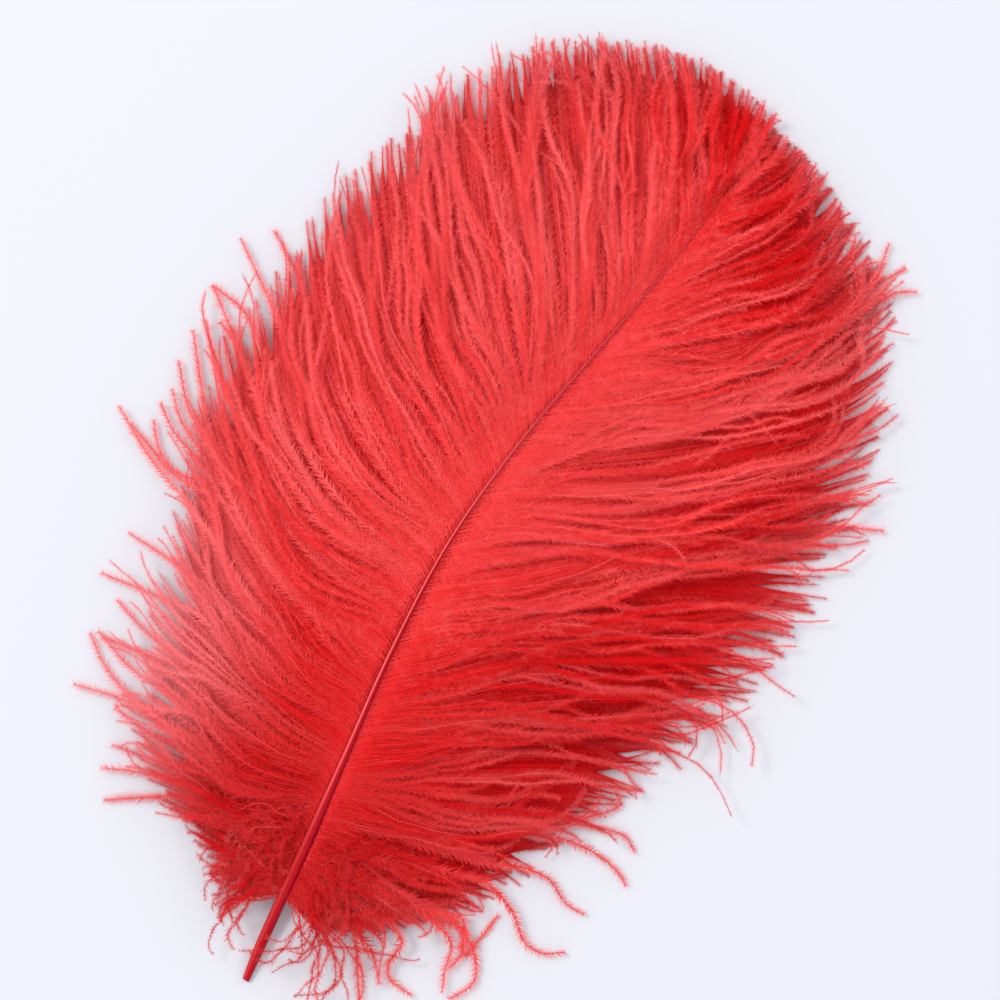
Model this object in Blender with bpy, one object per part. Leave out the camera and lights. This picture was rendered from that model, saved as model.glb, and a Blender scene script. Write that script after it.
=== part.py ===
"""A dyed ostrich plume lying on its hollow side: one shaft, and two vanes of soft barbs drawn into locks.

Metres, +Z up, +Y from the cut quill towards the tip, +X to the right of the shaft seen from above.
The plume is laid out with the quill's cut end at y = 0, and is centred on the origin when it is whole.
"""

import math
import random

import bmesh
import bpy
from mathutils import Matrix, Vector

# Shaft: (y, x of the centre line, radius). It bows to the left and tapers to a hair at the tip.
SHAFT_STATIONS = (
    (0.000, -0.0035, 0.0012),
    (0.012, -0.0051, 0.0018),
    (0.045, -0.0095, 0.0020),
    (0.080, -0.0135, 0.0016),
    (0.120, -0.0180, 0.0011),
    (0.160, -0.0198, 0.0008),
    (0.200, -0.0165, 0.0007),
    (0.240, -0.0098, 0.0006),
    (0.280, -0.0032, 0.0006),
    (0.312, 0.0002, 0.0005),
)
SHAFT_ARCH = 0.018  # how far the middle of the shaft rises over its two ends
SHAFT_SPAN = 0.345  # length of that arch along y
SHAFT_SIDES = 10
SHAFT_RINGS = 30

# Guide barbs: (y of the root on the shaft, tip x, tip y, angle where it leaves the shaft, angle at its tip).
# Angles are in degrees from +Y, out to the barb's own side; over 90 the barb hangs back towards the quill.
LEFT_GUIDES = (
    (0.034, -0.034, 0.006, 105, 150),
    (0.046, -0.072, 0.034, 95, 108),
    (0.058, -0.098, 0.062, 86, 92),
    (0.075, -0.108, 0.094, 78, 80),
    (0.095, -0.122, 0.132, 76, 68),
    (0.115, -0.130, 0.164, 76, 60),
    (0.140, -0.128, 0.200, 74, 54),
    (0.170, -0.120, 0.244, 62, 42),
    (0.200, -0.108, 0.279, 52, 36),
    (0.235, -0.086, 0.311, 44, 32),
    (0.270, -0.054, 0.336, 36, 26),
    (0.295, -0.026, 0.342, 26, 14),
    (0.306, -0.008, 0.342, 10, 3),
)
RIGHT_GUIDES = (
    (0.034, 0.022, 0.006, 105, 150),
    (0.046, 0.054, 0.030, 92, 128),
    (0.058, 0.076, 0.056, 80, 112),
    (0.078, 0.085, 0.090, 70, 96),
    (0.100, 0.088, 0.130, 62, 86),
    (0.120, 0.095, 0.164, 58, 76),
    (0.140, 0.101, 0.199, 56, 68),
    (0.165, 0.097, 0.232, 54, 60),
    (0.195, 0.087, 0.265, 52, 50),
    (0.235, 0.067, 0.298, 48, 38),
    (0.270, 0.043, 0.320, 40, 28),
    (0.295, 0.019, 0.334, 28, 14),
    (0.306, 0.005, 0.341, 10, 3),
)
LOCKS_PER_SIDE = 34
LOCK_STEPS = 12  # stretches along each lock, from the shaft to its tip
LEAVE_PULL = 0.34  # how far the leaving angle holds, as a share of the barb's length
TIP_PULL = 0.30

SPLIT_EARLIEST = 6  # the station where neighbouring locks part, drawn for each pair
SPLIT_LATEST = 8
ROOT_HALF_SHARE = 0.45  # half thickness of the vane at the shaft, as a share of the shaft's radius
VANE_THICKNESS = 0.0026
ROOT_BLEND = 0.25  # share of a barb's length in which vane and locks grow to their full thickness
TOUCH_DOWN = 0.86  # share of a barb's length at which it comes down on the floor
SLOPE_POWER = 1.7  # over 1 the vane leaves the shaft level and falls more steeply further out
BILLOW = 0.0098  # how far the vane swells above a plain slope from shaft to floor
BILLOW_REACH = 0.8  # share of a barb's length that this swell takes up
RIDGE_HEIGHT = 0.0034  # crown of a lock over the valley beside it
RIDGE_SPREAD = 0.35  # how much that differs from lock to lock
RIDGE_AT_TIP = 0.25  # share of the crown's height that is left at the tip
TAPER_POWER = 1.3  # over 1 a free lock keeps its width for longer
TIP_SHORTENING = 0.12  # the most that a lock falls short of the vane's edge, as a share of its length
TIP_SWING = 0.85  # share of the free gap beside a lock's end that its tip may lean into
TIP_LIFT = 0.005  # the most that a lock's tip stands off the floor; half of them lie flat on it
SEED = 20

FEATHER_RED = (0.62, 0.015, 0.018, 1.0)


def clear_scene():
    for obj in list(bpy.data.objects):
        bpy.data.objects.remove(obj)


def between(stations, at):
    """The values after the first in each row, read smoothly at a value of the first."""
    last = len(stations) - 1
    row = max(i for i in range(last) if i == 0 or stations[i][0] <= at)
    before, start = stations[max(row - 1, 0)], stations[row]
    end, after = stations[row + 1], stations[min(row + 2, last)]
    span = end[0] - start[0]
    t = min(max((at - start[0]) / span, 0.0), 1.0)
    values = []
    for k in range(1, len(start)):
        slope_in = (end[k] - before[k]) / (end[0] - before[0]) * span
        slope_out = (after[k] - start[k]) / (after[0] - start[0]) * span
        values.append(
            (2 * t**3 - 3 * t**2 + 1) * start[k]
            + (t**3 - 2 * t**2 + t) * slope_in
            + (3 * t**2 - 2 * t**3) * end[k]
            + (t**3 - t**2) * slope_out
        )
    return values


def shaft_point(y):
    """Centre of the shaft at y, and its radius there."""
    x, radius = between(SHAFT_STATIONS, y)
    quill_radius = SHAFT_STATIONS[0][2]
    z = quill_radius + SHAFT_ARCH * math.sin(math.pi * y / SHAFT_SPAN)
    return Vector((x, y, z)), radius


def barb_line(guides, root_y, t):
    """Point in plan at share t of the barb that grows at root_y."""
    tip_x, tip_y, leave, arrive = between(guides, root_y)
    root, _ = shaft_point(root_y)
    start = Vector((root.x, root.y))
    end = Vector((tip_x, tip_y))
    side = math.copysign(1.0, guides[-1][1])
    length = (end - start).length
    leave_way = Vector((side * math.sin(math.radians(leave)), math.cos(math.radians(leave))))
    arrive_way = Vector((side * math.sin(math.radians(arrive)), math.cos(math.radians(arrive))))
    a = start + leave_way * length * LEAVE_PULL
    b = end - arrive_way * length * TIP_PULL
    u = 1 - t
    return start * u**3 + a * 3 * u * u * t + b * 3 * u * t * t + end * t**3


def vane_top(root_y, t):
    """Height of the valleys between locks: from the shaft, over a swell, down to the floor."""
    shaft, radius = shaft_point(root_y)
    slope = (shaft.z + ROOT_HALF_SHARE * radius) * max(1 - (t / TOUCH_DOWN) ** SLOPE_POWER, 0.0)
    swell = BILLOW * math.sin(math.pi * min(t / BILLOW_REACH, 1.0))
    return slope + swell * min(shaft.z / SHAFT_ARCH, 1.0)


def vane_bottom(root_y, t):
    """Underside: a thin root at the shaft, then an even thickness until it meets the floor."""
    _, radius = shaft_point(root_y)
    thickness = 2 * ROOT_HALF_SHARE * radius + VANE_THICKNESS * min(t / ROOT_BLEND, 1.0)
    return max(vane_top(root_y, t) - thickness, 0.0)


class VaneSide:
    """One vane: valley lines between locks, a ridge along each lock, and locks that part into free tips."""

    def __init__(self, bm, guides, roots, root_tops, rng):
        self.bm = bm
        self.guides = guides
        self.roots = roots
        self.root_tops = root_tops
        self.first, self.last = guides[0][0], guides[-1][0]
        self.step = (self.last - self.first) / LOCKS_PER_SIDE
        self.splits = [rng.randint(SPLIT_EARLIEST, SPLIT_LATEST) for _ in range(LOCKS_PER_SIDE + 1)]
        self.splits[0] = self.splits[-1] = SPLIT_EARLIEST
        self.crowns = [
            RIDGE_HEIGHT * (1 + RIDGE_SPREAD * rng.uniform(-1, 1)) for _ in range(LOCKS_PER_SIDE)
        ]
        self.reaches = [1 - TIP_SHORTENING * rng.random() ** 2 for _ in range(LOCKS_PER_SIDE)]
        self.swings = [TIP_SWING * rng.uniform(-1, 1) for _ in range(LOCKS_PER_SIDE)]
        self.lifts = [TIP_LIFT * max(rng.uniform(-1, 1), 0.0) for _ in range(LOCKS_PER_SIDE)]

    def vertex(self, plan, z):
        return self.bm.verts.new((plan.x, plan.y, z))

    def build(self):
        """Valley columns first, then each lock's faces between its two valleys."""
        columns = [self.valley_column(k) for k in range(LOCKS_PER_SIDE + 1)]
        for k in range(LOCKS_PER_SIDE):
            self.lock(k, columns[k], columns[k + 1])
        for column, split in ((columns[0], self.splits[0]), (columns[-1], self.splits[-1])):
            self.end_wall(column, split)

    def valley_column(self, k):
        """(top, bottom) vertices along the valley before lock k, one vertex where the locks part."""
        root_y = self.first + self.step * k
        column = [self.roots[k]]
        for station in range(1, self.splits[k] + 1):
            t = station / LOCK_STEPS
            plan = barb_line(self.guides, root_y, t)
            low = vane_bottom(root_y, t)
            if station == self.splits[k]:
                crotch = self.vertex(plan, low)
                column.append((crotch, crotch))
            else:
                column.append((self.vertex(plan, vane_top(root_y, t)), self.vertex(plan, low)))
        return column

    def finger_edge(self, k, station, side):
        """Free edge of lock k past the split: side -1 faces the quill, 1 faces the tip of the plume."""
        middle_y = self.first + self.step * (k + 0.5)
        t = station / LOCK_STEPS * self.reaches[k]
        centre = barb_line(self.guides, middle_y, t)
        valley = barb_line(self.guides, middle_y + side * self.step / 2, t)
        return centre, valley - centre

    def finger_taper(self, k, station):
        """1 where the lock is still whole, towards 0 at its tip."""
        start = min(self.splits[k], self.splits[k + 1])
        done = (station - start) / (LOCK_STEPS - start)
        return 1 - done**TAPER_POWER

    def lock(self, k, near, far):
        """Faces of one lock. near and far are its valley columns, on the quill's and the tip's side."""
        middle_y = self.first + self.step * (k + 0.5)
        near_line, far_line = list(near), list(far)
        ridge = [self.root_tops[k]]
        for station in range(1, LOCK_STEPS):
            t = station / LOCK_STEPS
            taper = self.finger_taper(k, station) if station > min(self.splits[k : k + 2]) else 1.0
            centre, to_near = self.finger_edge(k, station, -1)
            _, to_far = self.finger_edge(k, station, 1)
            lean = (to_far if self.swings[k] > 0 else to_near) * abs(self.swings[k]) * (1 - taper)
            lift = self.lifts[k] * (1 - taper)
            low = vane_bottom(middle_y, t) + lift
            crown = self.crowns[k] * min(t / ROOT_BLEND, 1.0) * (RIDGE_AT_TIP + (1 - RIDGE_AT_TIP) * taper)
            ridge.append(self.vertex(centre + lean, vane_top(middle_y, t) + crown + lift))
            for line, way in ((near_line, to_near), (far_line, to_far)):
                if station >= len(line):
                    edge = self.vertex(centre + lean + way * taper, low)
                    line.append((edge, edge))
        centre, to_near = self.finger_edge(k, LOCK_STEPS, -1)
        _, to_far = self.finger_edge(k, LOCK_STEPS, 1)
        lean = (to_far if self.swings[k] > 0 else to_near) * abs(self.swings[k])
        tip = self.vertex(centre + lean, self.lifts[k])
        for station in range(LOCK_STEPS - 1):
            after = station + 1
            self.face(near_line[station][0], near_line[after][0], ridge[after], ridge[station])
            self.face(ridge[station], ridge[after], far_line[after][0], far_line[station][0])
            self.face(near_line[station][1], far_line[station][1], far_line[after][1], near_line[after][1])
        self.face(near_line[-1][0], tip, ridge[-1])
        self.face(ridge[-1], tip, far_line[-1][0])
        self.face(near_line[-1][1], far_line[-1][1], tip)

    def face(self, *corners):
        """A face without repeated corners."""
        kept = [c for i, c in enumerate(corners) if c is not corners[i - 1]]
        self.bm.faces.new(kept)

    def end_wall(self, column, split):
        """Closes the vane's first or last edge, from the shaft to where its outermost lock comes free."""
        for station in range(split):
            (top, low), (next_top, next_low) = column[station], column[station + 1]
            self.face(top, next_top, next_low, low)


def root_line(bm):
    """The row that both vanes share inside the shaft: (top, bottom) at each valley, top only at each lock."""
    first, last = LEFT_GUIDES[0][0], LEFT_GUIDES[-1][0]
    step = (last - first) / LOCKS_PER_SIDE
    valleys, middles = [], []
    for k in range(LOCKS_PER_SIDE + 1):
        centre, radius = shaft_point(first + step * k)
        half = Vector((0, 0, ROOT_HALF_SHARE * radius))
        valleys.append((bm.verts.new(centre + half), bm.verts.new(centre - half)))
    for k in range(LOCKS_PER_SIDE):
        centre, radius = shaft_point(first + step * (k + 0.5))
        middles.append(bm.verts.new(centre + Vector((0, 0, ROOT_HALF_SHARE * radius))))
    return valleys, middles


def vane_mesh():
    """Both vanes as one closed sheet, joined along the shaft's centre line."""
    bm = bmesh.new()
    valleys, middles = root_line(bm)
    rng = random.Random(SEED)
    for guides in (LEFT_GUIDES, RIGHT_GUIDES):
        VaneSide(bm, guides, valleys, middles, rng).build()
    bmesh.ops.recalc_face_normals(bm, faces=bm.faces)
    mesh = bpy.data.meshes.new("vanes")
    bm.to_mesh(mesh)
    bm.free()
    return mesh


def shaft_mesh():
    """The quill and shaft: rings of SHAFT_SIDES points along the centre line, closed at both ends."""
    bm = bmesh.new()
    length = SHAFT_STATIONS[-1][0]
    rings = []
    for i in range(SHAFT_RINGS + 1):
        centre, radius = shaft_point(length * i / SHAFT_RINGS)
        ring = []
        for j in range(SHAFT_SIDES):
            turn = 2 * math.pi * (j + 0.5) / SHAFT_SIDES
            ring.append(bm.verts.new(centre + radius * Vector((math.cos(turn), 0, math.sin(turn)))))
        rings.append(ring)
    for ring, after in zip(rings, rings[1:]):
        for j in range(SHAFT_SIDES):
            k = (j + 1) % SHAFT_SIDES
            bm.faces.new((ring[j], ring[k], after[k], after[j]))
    bm.faces.new(rings[0])
    bm.faces.new(rings[-1])
    bmesh.ops.recalc_face_normals(bm, faces=bm.faces)
    mesh = bpy.data.meshes.new("shaft")
    bm.to_mesh(mesh)
    bm.free()
    return mesh


def feather_material():
    material = bpy.data.materials.new("dyed_plume")
    material.use_nodes = True
    shader = material.node_tree.nodes["Principled BSDF"]
    shader.inputs["Base Color"].default_value = FEATHER_RED
    shader.inputs["Roughness"].default_value = 0.75
    shader.inputs["Metallic"].default_value = 0.0
    return material


def centre_on_origin(*meshes):
    """Moves the meshes together: the middle of their common box over the origin, its foot at z = 0."""
    points = [vertex.co for mesh in meshes for vertex in mesh.vertices]
    low = Vector([min(p[axis] for p in points) for axis in range(3)])
    high = Vector([max(p[axis] for p in points) for axis in range(3)])
    shift = Vector((-(low.x + high.x) / 2, -(low.y + high.y) / 2, -low.z))
    for mesh in meshes:
        mesh.transform(Matrix.Translation(shift))


def main():
    clear_scene()
    vanes, tube = vane_mesh(), shaft_mesh()
    centre_on_origin(vanes, tube)
    feather = bpy.data.objects.new("feather", vanes)
    shaft = bpy.data.objects.new("shaft_to_join", tube)
    for obj in (feather, shaft):
        bpy.context.collection.objects.link(obj)
        obj.data.materials.append(feather_material())
    shaft.hide_render = True
    shaft.display_type = "WIRE"
    join = feather.modifiers.new("shaft", "BOOLEAN")
    join.operation = "UNION"
    join.solver = "EXACT"
    join.object = shaft


main()
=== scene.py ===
"""A dyed ostrich plume: a satin shaft, and two vanes of barbs with soft barbules, gathered into locks."""

import math

import bpy
import numpy as np
from mathutils import Matrix, Vector


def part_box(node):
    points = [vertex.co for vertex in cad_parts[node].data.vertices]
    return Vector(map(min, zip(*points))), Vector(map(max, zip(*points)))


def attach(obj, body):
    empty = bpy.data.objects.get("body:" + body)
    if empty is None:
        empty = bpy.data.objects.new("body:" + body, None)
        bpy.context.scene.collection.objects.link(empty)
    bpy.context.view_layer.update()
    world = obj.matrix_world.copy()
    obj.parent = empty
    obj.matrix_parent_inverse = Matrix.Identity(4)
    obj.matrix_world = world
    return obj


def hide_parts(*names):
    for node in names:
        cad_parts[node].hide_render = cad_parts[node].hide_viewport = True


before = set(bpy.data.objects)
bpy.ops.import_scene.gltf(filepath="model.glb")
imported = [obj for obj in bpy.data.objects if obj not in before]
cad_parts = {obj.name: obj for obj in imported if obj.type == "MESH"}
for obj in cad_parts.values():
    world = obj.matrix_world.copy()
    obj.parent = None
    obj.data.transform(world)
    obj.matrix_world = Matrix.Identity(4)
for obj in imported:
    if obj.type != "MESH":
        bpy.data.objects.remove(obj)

bl_info = {
    "name": "Ostrich Plume",
    "version": (1, 0, 0),
    "blender": (4, 5, 0),
    "location": "View3D > Sidebar > Plume",
    "description": "Builds a dyed ostrich plume lying on its hollow side, barb by barb",
    "category": "Object",
}

LEFT, RIGHT = -1, 1

# The plume is laid out with the quill's cut end at y = 0, in metres, and then moved onto the frame.
# Shaft: (y, x of the centre line, radius).
SHAFT_LINE = (
    (0.000, -0.0035, 0.00120),
    (0.012, -0.0051, 0.00180),
    (0.045, -0.0088, 0.00175),
    (0.080, -0.0130, 0.00110),
    (0.120, -0.0178, 0.00074),
    (0.160, -0.0198, 0.00052),
    (0.200, -0.0165, 0.00040),
    (0.240, -0.0098, 0.00030),
    (0.280, -0.0032, 0.00022),
    (0.312, 0.0002, 0.00014),
)
SHAFT_ARCH = 0.018  # how far the middle of the shaft rises over its two ends
SHAFT_SPAN = 0.345  # length of that arch along y

# Guide barbs: y of the root, x and y of the tip, then the barb's heading at each of HEADING_SHARES.
# Headings are degrees from +Y, out to the barb's own side; over 90 the barb hangs back towards the quill.
HEADING_SHARES = (0.0, 0.08, 0.3, 0.62, 1.0)
LEFT_GUIDES = (
    (0.031, -0.022, 0.008, 96, 108, 120, 134, 146),
    (0.038, -0.048, 0.032, 78, 98, 106, 114, 120),
    (0.046, -0.074, 0.036, 66, 94, 101, 106, 110),
    (0.060, -0.098, 0.062, 58, 86, 92, 94, 94),
    (0.075, -0.110, 0.098, 54, 84, 82, 76, 70),
    (0.090, -0.119, 0.136, 54, 88, 76, 60, 52),
    (0.105, -0.126, 0.160, 54, 90, 75, 58, 50),
    (0.120, -0.129, 0.182, 54, 90, 78, 57, 47),
    (0.140, -0.128, 0.210, 52, 90, 74, 50, 40),
    (0.160, -0.122, 0.240, 48, 74, 64, 46, 38),
    (0.180, -0.112, 0.271, 42, 57, 55, 45, 39),
    (0.200, -0.098, 0.302, 36, 43, 43, 39, 38),
    (0.225, -0.078, 0.321, 28, 31, 32, 31, 32),
    (0.250, -0.058, 0.331, 24, 24, 24, 24, 28),
    (0.275, -0.038, 0.338, 22, 22, 20, 18, 22),
    (0.295, -0.019, 0.338, 18, 18, 16, 14, 14),
    (0.309, 0.001, 0.334, 4, 2, 0, -2, -4),
)
RIGHT_GUIDES = (
    (0.031, 0.013, 0.026, 90, 102, 110, 118, 126),
    (0.040, 0.034, 0.039, 86, 92, 98, 106, 112),
    (0.050, 0.052, 0.055, 84, 90, 92, 96, 100),
    (0.060, 0.064, 0.080, 72, 76, 80, 86, 92),
    (0.068, 0.074, 0.106, 64, 65, 67, 74, 84),
    (0.076, 0.085, 0.131, 56, 54, 56, 64, 76),
    (0.090, 0.095, 0.160, 52, 50, 48, 60, 74),
    (0.105, 0.100, 0.187, 50, 46, 43, 57, 70),
    (0.120, 0.100, 0.208, 48, 43, 42, 57, 64),
    (0.140, 0.096, 0.234, 50, 49, 49, 54, 44),
    (0.160, 0.090, 0.258, 51, 50, 51, 49, 28),
    (0.180, 0.081, 0.280, 52, 51, 52, 42, 14),
    (0.200, 0.069, 0.302, 53, 52, 51, 35, 6),
    (0.225, 0.053, 0.315, 53, 52, 48, 29, 0),
    (0.250, 0.036, 0.320, 50, 49, 45, 24, -4),
    (0.275, 0.022, 0.327, 42, 41, 37, 19, -5),
    (0.295, 0.010, 0.330, 28, 28, 25, 11, -8),
    (0.309, -0.004, 0.332, 4, 2, -2, -6, -8),
)
# Barbs that stand clear of the fringe: y of the root, then points (x, y) outwards from where each one leaves
# its neighbours. First the left vane's, then the right vane's, then the curls that hang at the lower right.
LOOSE = (
    (0.099, (-0.084, 0.119), (-0.101, 0.126), (-0.119, 0.132), (-0.136, 0.141)),
    (0.112, (-0.085, 0.132), (-0.108, 0.131), (-0.121, 0.135), (-0.130, 0.138)),
    (0.115, (-0.089, 0.137), (-0.109, 0.132), (-0.118, 0.136), (-0.124, 0.143)),
    (0.113, (-0.090, 0.136), (-0.106, 0.140), (-0.116, 0.143), (-0.125, 0.149)),
    (0.115, (-0.091, 0.138), (-0.107, 0.143), (-0.117, 0.148), (-0.124, 0.155)),
    (0.117, (-0.090, 0.139), (-0.106, 0.146), (-0.117, 0.153), (-0.127, 0.164)),
    (0.088, (-0.074, 0.103), (-0.092, 0.106), (-0.112, 0.107)),
    (0.081, (-0.077, 0.096), (-0.093, 0.094), (-0.113, 0.091)),
    (0.072, (-0.071, 0.080), (-0.091, 0.082), (-0.104, 0.086)),
    (0.059, (-0.069, 0.060), (-0.083, 0.061), (-0.096, 0.065), (-0.106, 0.072)),
    (0.065, (-0.068, 0.069), (-0.088, 0.069), (-0.104, 0.074)),
    (0.072, (-0.067, 0.080), (-0.082, 0.076), (-0.102, 0.073)),
    (0.064, (-0.062, 0.068), (-0.077, 0.061), (-0.090, 0.058), (-0.102, 0.055)),
    (0.056, (-0.060, 0.056), (-0.074, 0.054), (-0.086, 0.055)),
    (0.053, (-0.053, 0.051), (-0.066, 0.047), (-0.081, 0.044)),
    (0.050, (-0.053, 0.046), (-0.069, 0.041), (-0.080, 0.036)),
    (0.047, (-0.051, 0.043), (-0.064, 0.034), (-0.074, 0.027)),
    (0.145, (-0.090, 0.172), (-0.106, 0.182), (-0.117, 0.189), (-0.130, 0.191)),
    (0.137, (-0.092, 0.162), (-0.107, 0.174), (-0.130, 0.191)),
    (0.113, (-0.103, 0.146), (-0.115, 0.159), (-0.128, 0.175)),
    (0.127, (-0.100, 0.158), (-0.115, 0.168), (-0.126, 0.180)),
    (0.141, (-0.092, 0.168), (-0.108, 0.176), (-0.122, 0.182)),
    (0.151, (-0.092, 0.183), (-0.108, 0.194), (-0.130, 0.209)),
    (0.158, (-0.095, 0.199), (-0.109, 0.209), (-0.122, 0.217)),
    (0.205, (-0.076, 0.274), (-0.084, 0.285), (-0.091, 0.297)),
    (0.207, (-0.074, 0.276), (-0.081, 0.288), (-0.088, 0.300)),
    (0.208, (-0.072, 0.278), (-0.078, 0.290), (-0.083, 0.302)),
    (0.206, (0.046, 0.274), (0.053, 0.293), (0.056, 0.304), (0.054, 0.317)),
    (0.200, (0.046, 0.267), (0.055, 0.288), (0.064, 0.304), (0.070, 0.308)),
    (0.208, (0.046, 0.276), (0.054, 0.297), (0.063, 0.313)),
    (0.134, (0.069, 0.209), (0.086, 0.227), (0.101, 0.235)),
    (0.037, (0.016, 0.035), (0.022, 0.029), (0.027, 0.021), (0.032, 0.014)),
    (0.036, (0.019, 0.034), (0.027, 0.030), (0.035, 0.022)),
    (0.042, (0.027, 0.042), (0.034, 0.038), (0.034, 0.029), (0.037, 0.025), (0.046, 0.024)),
    (0.048, (0.034, 0.050), (0.048, 0.046), (0.051, 0.037), (0.054, 0.030)),
    (0.049, (0.043, 0.053), (0.055, 0.048), (0.061, 0.040), (0.061, 0.036), (0.057, 0.029)),
    (0.048, (0.049, 0.051), (0.053, 0.044), (0.052, 0.038)),
    (0.050, (0.054, 0.044), (0.056, 0.052), (0.057, 0.061)),
    (0.057, (0.047, 0.069), (0.060, 0.065), (0.069, 0.058), (0.076, 0.058), (0.082, 0.062)),
    (0.060, (0.055, 0.079), (0.065, 0.080), (0.074, 0.076), (0.081, 0.076)),
    (0.065, (0.063, 0.094), (0.076, 0.095), (0.085, 0.093), (0.088, 0.091)),
    (0.067, (0.063, 0.100), (0.079, 0.105), (0.085, 0.102)),
    (0.068, (0.063, 0.102), (0.073, 0.113), (0.069, 0.116)),
)
# The fringe: y of the root, the share of their length by which the barbs there differ, how far their tips
# curl, in degrees, the share of a barb at which the mat below it ends, and how far barbs draw into locks.
LEFT_FRINGE = (
    (0.031, 0.28, 40, 0.70, 0.24),
    (0.060, 0.36, 34, 0.79, 0.36),
    (0.090, 0.34, 24, 0.91, 0.42),
    (0.140, 0.32, 18, 0.94, 0.42),
    (0.175, 0.22, 20, 0.98, 0.36),
    (0.235, 0.12, 26, 0.98, 0.24),
    (0.280, 0.10, 40, 0.95, 0.16),
    (0.309, 0.10, 50, 0.92, 0.10),
)
RIGHT_FRINGE = (
    (0.031, 0.24, 80, 0.96, 0.18),
    (0.060, 0.18, 80, 0.95, 0.20),
    (0.090, 0.16, 60, 0.95, 0.26),
    (0.130, 0.16, 34, 0.95, 0.32),
    (0.180, 0.15, 34, 0.95, 0.32),
    (0.250, 0.10, 38, 0.96, 0.22),
    (0.309, 0.10, 40, 0.92, 0.10),
)
PATH_STEPS = 72  # points along a barb while its line is worked out
BARB_STEPS = 22  # points along a finished barb
CURL_STEPS = 44  # points along a barb that curls
TOUCH_DOWN = 0.86  # share of a barb's length at which it comes down near the floor
SLOPE_POWER = 1.7  # over 1 the vane leaves the shaft level and falls more steeply further out
BILLOW = 0.006  # how far the vane swells above a plain slope from shaft to floor
BILLOW_REACH = 0.8  # share of a barb's length that this swell takes up
LOCK_SIZES = (3, 12)  # fewest and most barbs in a lock
NEW_BRUSH = 0.6  # chance that a barb within a lock starts another brush of barbs that run together
BRIEF_REACH = (0.45, 0.92)  # share of its length at which a brief barb ends
STRAY_TURN = (8, 26)  # how far a stray barb turns off its course, in degrees
PAINTED_HIGHLIGHT_BRUSHES = 0.06  # share of brushes painted paler, as painted highlights
UNDER_LIFT = 0.0005  # how far the lower layer lies over the vane's own height
MAT_HALF_WIDTH = 0.0017
MAT_CLEARANCE = 0.0001  # lowest that a mat lies over the floor
BARBULE_CLEARANCE = 0.00015  # lowest that a barbule lies over the floor
# Barbules: share of their barb, length.
BARBULE_SIZES = (
    (0.0, 0.0012),
    (0.04, 0.0022),
    (0.1, 0.0026),
    (0.2, 0.0029),
    (0.5, 0.0029),
    (0.75, 0.0024),
    (0.93, 0.0020),
    (1.0, 0.0015),
)
VANE_PIECES = ("low", "middle", "high")  # a vane's pieces, from the quill to the tip
LOOSE_DRAWS, DOWN_DRAWS = 3, 4  # added to the seed, so that each has random draws of its own
MIDDLE_TONE = 0.55  # the tone from which locks turn lighter or deeper
FLOOR_SIZE = 8.0
SENSOR_WIDTH = 36.0  # in millimetres
STUDIO_WHITE = (0.96, 0.96, 1.0, 1.0)
PICTURE_MIDDLE = (-0.0127, 0.17886, 0.0)  # the place in the layout that the camera looks at
# Lights: name, how far right of the picture's middle, up from it and over it, size, share of the key's power.
LIGHTS = (
    ("key", -1.3, 0.9, 2.4, 0.7, 1.0),
    ("fill", 2.0, 1.2, 2.6, 2.4, 0.3),
)
# Patches painted lighter or deeper, as painted light and shade over the plume: centre, radius where it is
# full, radius where it is gone, amount, colour. The light and pale patches on the left are painted light; the
# deep and shaft-coloured ones are painted shade.
COLOUR_DRIFT = (
    ((-0.006, -0.105, 0.01), 0.030, 0.075, 0.70, "deep"),
    ((0.045, 0.010, 0.02), 0.030, 0.080, 0.20, "deep"),
    ((-0.035, 0.045, 0.02), 0.050, 0.110, 0.25, "light"),
    ((-0.050, 0.105, 0.01), 0.020, 0.080, 0.20, "light"),
    ((-0.095, -0.095, 0.00), 0.025, 0.080, 0.75, "pale"),
    ((0.012, 0.165, 0.01), 0.015, 0.050, 0.45, "deep"),
    ((0.004, -0.130, 0.01), 0.020, 0.065, 0.45, "shaft"),
    ((0.060, -0.060, 0.01), 0.015, 0.070, 0.25, "shaft"),
)


def between(rows, at):
    """Each row's numbers after its first, read smoothly at values of the first. Gives one row per value."""
    rows = np.asarray(rows, float)
    at = np.atleast_1d(at)
    key, value = rows[:, 0], rows[:, 1:]
    last = len(key) - 1
    row = np.clip(np.searchsorted(key, at, side="right") - 1, 0, last - 1)
    before, after = np.maximum(row - 1, 0), np.minimum(row + 2, last)
    span = (key[row + 1] - key[row])[:, None]
    t = np.clip((at[:, None] - key[row][:, None]) / span, 0.0, 1.0)
    slope_in = (value[row + 1] - value[before]) / (key[row + 1] - key[before])[:, None] * span
    slope_out = (value[after] - value[row]) / (key[after] - key[row])[:, None] * span
    return (
        (2 * t**3 - 3 * t**2 + 1) * value[row]
        + (t**3 - 2 * t**2 + t) * slope_in
        + (3 * t**2 - 2 * t**3) * value[row + 1]
        + (t**3 - t**2) * slope_out
    )


def ramp(at, low, high):
    """0 below low, 1 above high, and smooth between them."""
    t = np.clip((at - low) / (high - low), 0.0, 1.0)
    return t * t * (3 - 2 * t)


def shaft_centre(y):
    """Centre of the shaft and its radius at each y."""
    y = np.atleast_1d(y)
    x, radius = between(SHAFT_LINE, y).T
    z = SHAFT_LINE[0][2] + SHAFT_ARCH * np.sin(np.pi * y / SHAFT_SPAN)
    return np.stack([x, y, z], -1), radius


def place_on_frame():
    """What is added to the layout to bring its quill end onto that of the CAD part."""
    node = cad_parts["feather"]
    low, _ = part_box("feather")
    end = [v.co for v in node.data.vertices if v.co.y < low.y + 1e-5]
    return np.array((sum(co.x for co in end) / len(end) - SHAFT_LINE[0][1], low.y, 0.0))


PLACE = place_on_frame()


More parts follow.
